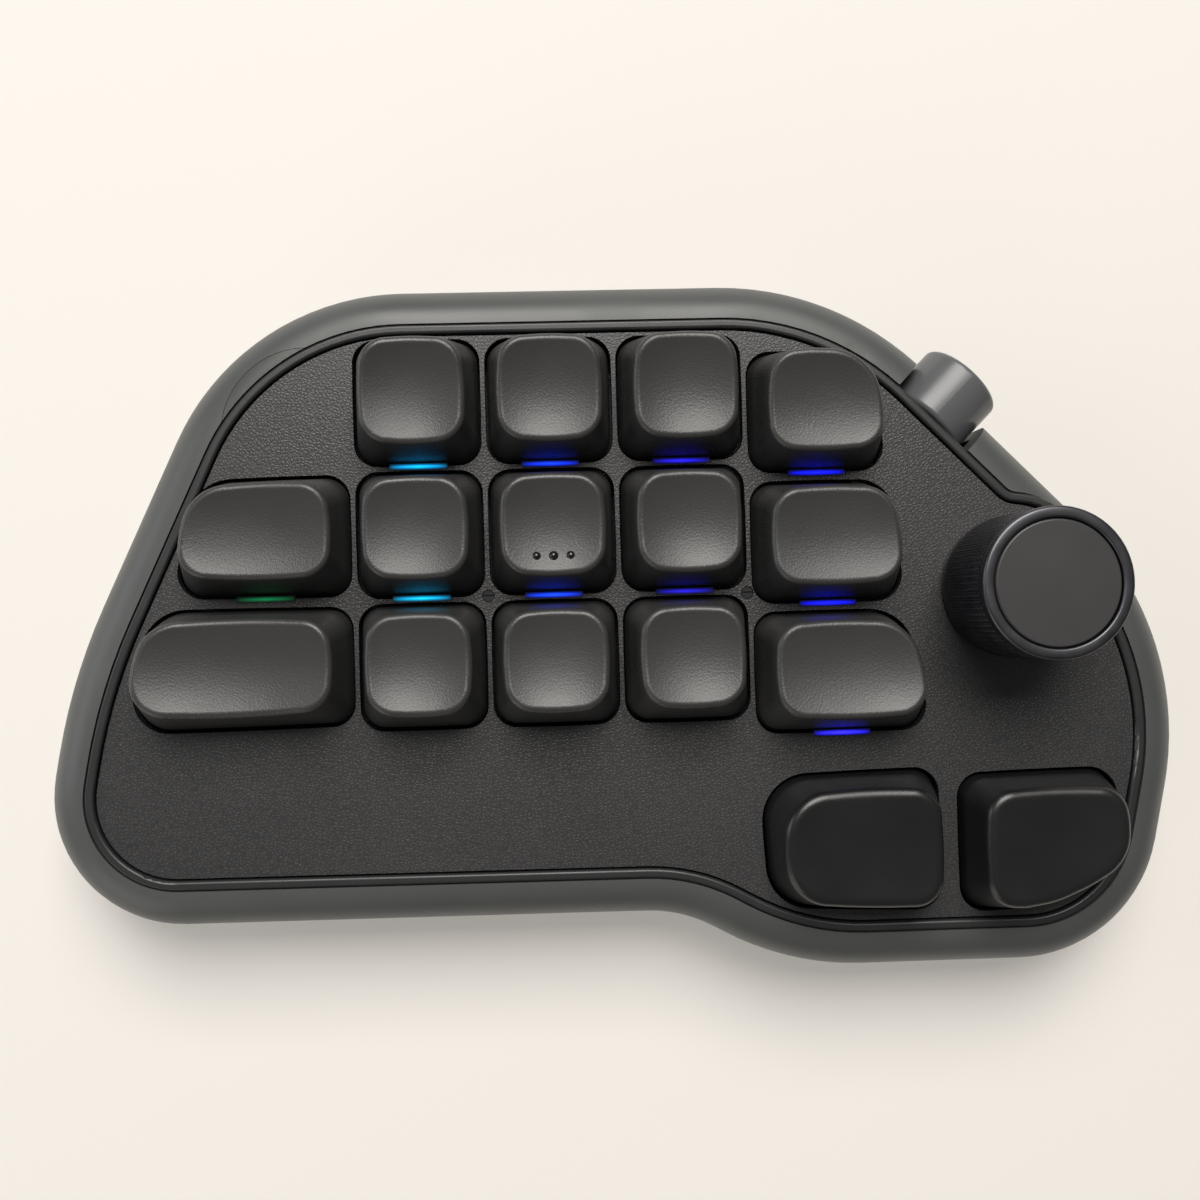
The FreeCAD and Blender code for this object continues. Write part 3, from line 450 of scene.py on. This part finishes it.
def knob_profile():
    """(radius, height, knurl depth) round the section of the knob, starting at the bore."""
    low, high = knob_low.z, knob_high.z
    seat = disc_low.z
    points = [(bore_r, low + recess_h, 0.0), (recess_r, low + recess_h, 0.0), (recess_r, low, 0.0)]
    points += quarter(knob_r - edge_r, low + edge_r, edge_r, -90)
    knurl_low = low + edge_r + knurl_plain
    knurl_high = high - edge_r - knurl_plain
    rows = round((knurl_high - knurl_low) / knurl_width * steps_per_knurl)
    for i in range(rows + 1):
        fade = min(1.0, i / steps_per_knurl, (rows - i) / steps_per_knurl)
        points.append((knob_r, knurl_low + (knurl_high - knurl_low) * i / rows, knurl_depth * fade))
    points += quarter(knob_r - edge_r, high - edge_r, edge_r, 0)
    inner = disc_r + disc_gap
    points += quarter(inner + ring_round, high - ring_round, ring_round, 90)
    points += [(inner, seat, 0.0), (bore_r, seat, 0.0)]
    return points


profile = knob_profile()
print("points in the profile:", len(profile))

# %% [markdown]
# Each groove is a V. A point's two coordinates along the crossing families tell how far it is from
# the nearest groove, and the nearer one decides: that leaves small pyramids. Their slope is above
# one, so they end in small flats, as a knurl does where the tool doesn't reach full depth.

# %% Knob: sweep and knurl
pyramid_slope = 1.6


def ridge(t):
    """1 on a ridge, 0 in a groove, once for each whole number."""
    return 1 - abs(2 * (t - math.floor(t)) - 1)


def knob_ring(i, turns):
    """Places on the section of the knob at one step round the axis."""
    angle = 2 * math.pi * i / turns
    across = i / steps_per_knurl
    places = []
    for radius, height, depth in profile:
        along = (height - knob_low.z) / knurl_width
        pyramid = min(1.0, pyramid_slope * min(ridge(across + along), ridge(across - along)))
        r = radius - depth * (1 - pyramid)
        places.append((knob_axis.x + r * math.cos(angle), knob_axis.y + r * math.sin(angle), height))
    return places


def knurled_knob():
    """The knob as one closed mesh of revolution."""
    bm = bmesh.new()
    turns = knurl_count * steps_per_knurl
    rings = []
    for i in range(turns):
        rings.append([bm.verts.new(place) for place in knob_ring(i, turns)])
    for i in range(turns):
        here, ahead = rings[i], rings[(i + 1) % turns]
        for j in range(len(profile)):
            k = (j + 1) % len(profile)
            bm.faces.new((here[j], ahead[j], ahead[k], here[k]))
    bmesh.ops.recalc_face_normals(bm, faces=bm.faces)
    return piece("knurled_knob", bm)


def shade_by_angle(target, degrees=35):
    """Smooth shading that keeps edges sharper than an angle."""
    target.data.shade_smooth()
    target.data.set_sharp_from_angle(angle=math.radians(degrees))


knob = knurled_knob()
shade_by_angle(knob)
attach(knob, "main_knob")
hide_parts("main_knob")
print("faces on the knob:", len(knob.data.polygons))

# %% [markdown]
# Anodising leaves the metal's gloss under a dark skin, so the material is a dark metal and not a
# black plastic. The lathe left rings a tenth of a millimetre apart round the side. They are wave
# bands stacked along the axis, and they widen the shine of the metal more than they show.

# %% Knob: turned and anodised aluminium
turning_mm = 0.08
turning_depth_mm = 0.0015
handling_mm = 3.0


def anodised(name, colour, roughness):
    """Turned aluminium under black anodising: metal gloss, dark, with fine turning lines."""
    made, tree, shader = surface(name, colour, roughness, metallic=1.0)
    place = add(tree, "TexCoord").outputs["Object"]
    haze = add(tree, "TexNoise", {"Vector": place, "Scale": grains(handling_mm), "Detail": fine_detail})
    gloss = add(tree, "MapRange", {"Value": haze, **wander(roughness, less=0.04, more=0.06)})
    lathe = {"Vector": place, "Scale": grains(turning_mm) / wave_share, "Distortion": 0.2}
    turned = add(tree, "TexWave", lathe, bands_direction="Z").outputs["Fac"]
    relief = add(tree, "Bump", {"Height": turned, "Distance": mm(turning_depth_mm)})
    connect(shader, {"Roughness": gloss, "Normal": relief})
    return made


knob_black = anodised("aluminium_anodised_black", "#5a5a5e", 0.38)
knob.data.materials.append(knob_black)
print("knob in", knob_black.name)

# %% [markdown]
# Under each key in front of the switch sits a small light. At ten of the keys the eye sees it, as a
# thin bright slit between the key's front edge and the deck. The colour runs from green on the left
# through cyan to blue on the right. Real lamps under the caps would need many samples for so thin a
# gap, so each slit is painted light: a thin sheet that glows by itself in place of the lamp's light.

# %% Key lights: colours
# Painted light: the colour and strength of the glow that each slit gives off by itself.
slit_colours = {
    "pinky_home": ("#0b8f55", 0.9),
    "ring_top": ("#0aa7f0", 2.6),
    "ring_home": ("#0bb0e8", 2.6),
    "middle_top": ("#1238ff", 2.4),
    "middle_home": ("#1440ff", 2.6),
    "index_top": ("#2a22ff", 1.6),
    "index_home": ("#2a22f0", 1.4),
    "reach_top": ("#1016ff", 3.0),
    "reach_home": ("#1016ff", 3.0),
    "reach_bottom": ("#2a24ff", 3.4),
}
# Above 1 the glow holds out towards the ends along that axis, below 1 it gathers in the middle.
glow_hold = {"X": 1.3, "Y": 0.6}


def glow_material(name, colour, strength):
    """Light that is strongest in the middle of the slit and fades to its ends."""
    made, tree, shader = surface(name, "#101014", 0.3)
    local = add(tree, "TexCoord").outputs["Generated"]
    parts = add(tree, "SeparateXYZ", {0: local})
    fade = 1.0
    for axis, hold in glow_hold.items():
        off = add(tree, "Math", {0: parts.outputs[axis], 1: 0.5}, operation="SUBTRACT")
        off = add(tree, "Math", {0: off}, operation="ABSOLUTE")
        near = add(tree, "Math", {0: off, 1: -2.0, 2: 1.0}, operation="MULTIPLY_ADD")
        near = add(tree, "Math", {0: near, 1: 1 / hold}, operation="POWER", use_clamp=True)
        fade = add(tree, "Math", {0: near, 1: fade}, operation="MULTIPLY")
    power = add(tree, "Math", {0: fade, 1: strength}, operation="MULTIPLY")
    # The slit glows by itself: painted light, brightest in the middle and fading to its ends.
    connect(shader, {"Emission Color": linear(colour), "Emission Strength": power})
    return made


print("keys with a slit of light:", len(slit_colours))

# %% [markdown]
# A glowing sheet of painted light lies in the gap in front of its key, a hair above the deck. It
# belongs to the case, so it stays where it is when the key goes down. A box with rounded edges is
# all the shape that shows.

# %% Key lights: slits
slit_long = mm(8.4)
slit_wide = mm(0.95)
slit_thick = mm(0.08)
slit_round = slit_thick * 0.4
slit_before_key = mm(0.35)
slit_over_deck = mm(0.03)
deck_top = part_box("deck")[1].z


def light_slit(key, colour, strength):
    """One slit of light in front of a key, lying along the key's near edge."""
    low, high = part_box("keycap_" + key)
    middle = ((low.x + high.x) / 2, low.y - slit_before_key, deck_top + slit_over_deck + slit_thick / 2)
    bm = bmesh.new()
    bmesh.ops.create_cube(bm, size=1.0)
    bmesh.ops.scale(bm, vec=(slit_long, slit_wide, slit_thick), verts=bm.verts)
    bmesh.ops.bevel(bm, geom=bm.edges, offset=slit_round, segments=2, affect="EDGES")
    bmesh.ops.translate(bm, vec=middle, verts=bm.verts)
    made = piece("slit_" + key, bm)
    made.data.materials.append(glow_material("light_" + key, colour, strength))
    shade_by_angle(made)
    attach(made, "case")
    return made


slits = [light_slit(key, colour, strength) for key, (colour, strength) in slit_colours.items()]
print("slits of light:", len(slits))

# %% [markdown]
# The pad stands on a pale warm table. A table top has no end in such a picture, so a square much
# larger than the view is enough. A matte sheet lit from one side turns grey where the light thins
# out, so it glows a little, but only where the camera or a reflection sees it.

# %% Table
floor_half = 1.6
table_cloud_mm = 600.0
table_lift = 0.26
corners = [(-floor_half, -floor_half, 0), (floor_half, -floor_half, 0),
           (floor_half, floor_half, 0), (-floor_half, floor_half, 0)]
floor_mesh = bpy.data.meshes.new("table")
floor_mesh.from_pydata(corners, [], [(0, 1, 2, 3)])
floor = bpy.data.objects.new("table", floor_mesh)
bpy.context.collection.objects.link(floor)


def painted_table(name, dark, middle, light, roughness, glow):
    """Pale table that also reads pale in reflections."""
    made, tree, shader = surface(name, middle, roughness)
    place = add(tree, "TexCoord").outputs["Object"]
    cloud = add(tree, "TexNoise", {"Vector": place, "Scale": grains(table_cloud_mm), "Detail": 1.0})
    tint = add(tree, "Mix", {0: cloud, 6: linear(dark), 7: linear(light)}, data_type="RGBA")
    path = add(tree, "LightPath")
    seen = path.outputs["Is Camera Ray"]
    for ray in ("Is Glossy Ray", "Is Transmission Ray"):
        seen = add(tree, "Math", {0: seen, 1: path.outputs[ray]}, operation="MAXIMUM")
    lift = add(tree, "Math", {0: seen, 1: table_lift}, operation="MULTIPLY")
    connect(shader, {"Base Color": tint.outputs[2]})
    connect(shader, {"Emission Color": linear(glow), "Emission Strength": lift})
    return made


table_white = painted_table("table_warm_white", "#d0cdc8", "#d2cfca", "#d5d2cd", 0.8, "#fff9f1")
floor.data.materials.append(table_white)
print("table made, metres wide:", 2 * floor_half)

# %% [markdown]
# The light is that of a wide window behind the pad: the far side of the case and the near half of
# each dish catch it. One large lamp makes it, because a small one would draw hard shadows. Two weak
# lamps, one on the left and one low in front on the left, open the shadows on that side, and a dim
# world fills the rest.

# %% Lamps and world
world_strength = 0.12


def soft_lamp(name, place, size, power, colour, aim=(0, 0, 0)):
    """A large square lamp that looks at a point."""
    data = bpy.data.lights.new(name, "AREA")
    data.shape = "SQUARE"
    data.size = size
    data.energy = power
    data.color = linear(colour)[:3]
    lamp = bpy.data.objects.new(name, data)
    bpy.context.collection.objects.link(lamp)
    lamp.location = place
    lamp.rotation_euler = (Vector(aim) - Vector(place)).to_track_quat("-Z", "Y").to_euler()
    return lamp


lamps = [
    soft_lamp("window", (0.02, 0.78, 1.12), size=0.85, power=20.5, colour="#fffbf6"),
    soft_lamp("side_fill", (-0.75, 0.15, 0.35), size=0.4, power=1.1, colour="#f6f8ff"),
    soft_lamp("low_fill", (-0.50, -0.55, 0.30), size=0.45, power=0.9, colour="#fffaf4"),
]
world = bpy.data.worlds.new("room")
bpy.context.scene.world = world
world.use_nodes = True
background = world.node_tree.nodes["Background"]
connect(background, {"Color": linear("#f7f3ee"), "Strength": world_strength})
bpy.context.scene.view_settings.view_transform = "Standard"
print("lamps:", len(lamps))

# %% [markdown]
# The camera hangs about eighteen centimetres over the deck and looks almost straight down. Its tilt
# is small, and it is written as one turn about a slanted axis: the vector points along the axis, and
# its length is the angle. It was found by lining up the keys with the picture.

# %% Camera
camera_place = Vector((mm(-11.69), mm(1.71), mm(202.5)))
camera_turn = Vector((math.radians(-0.92), math.radians(2.73), math.radians(1.64)))
lens_mm = 37.74
sensor_mm = 36.0
nearest_seen = mm(10)

camera_data = bpy.data.cameras.new("camera")
camera_data.lens = lens_mm
camera_data.sensor_width = sensor_mm
camera_data.clip_start = nearest_seen
camera = bpy.data.objects.new("camera", camera_data)
bpy.context.collection.objects.link(camera)
turn = Quaternion(camera_turn.normalized(), -camera_turn.length)
camera.matrix_world = Matrix.Translation(camera_place) @ turn.to_matrix().to_4x4()
bpy.context.scene.camera = camera
print("camera height over the table:", round(camera_place.z, 4))
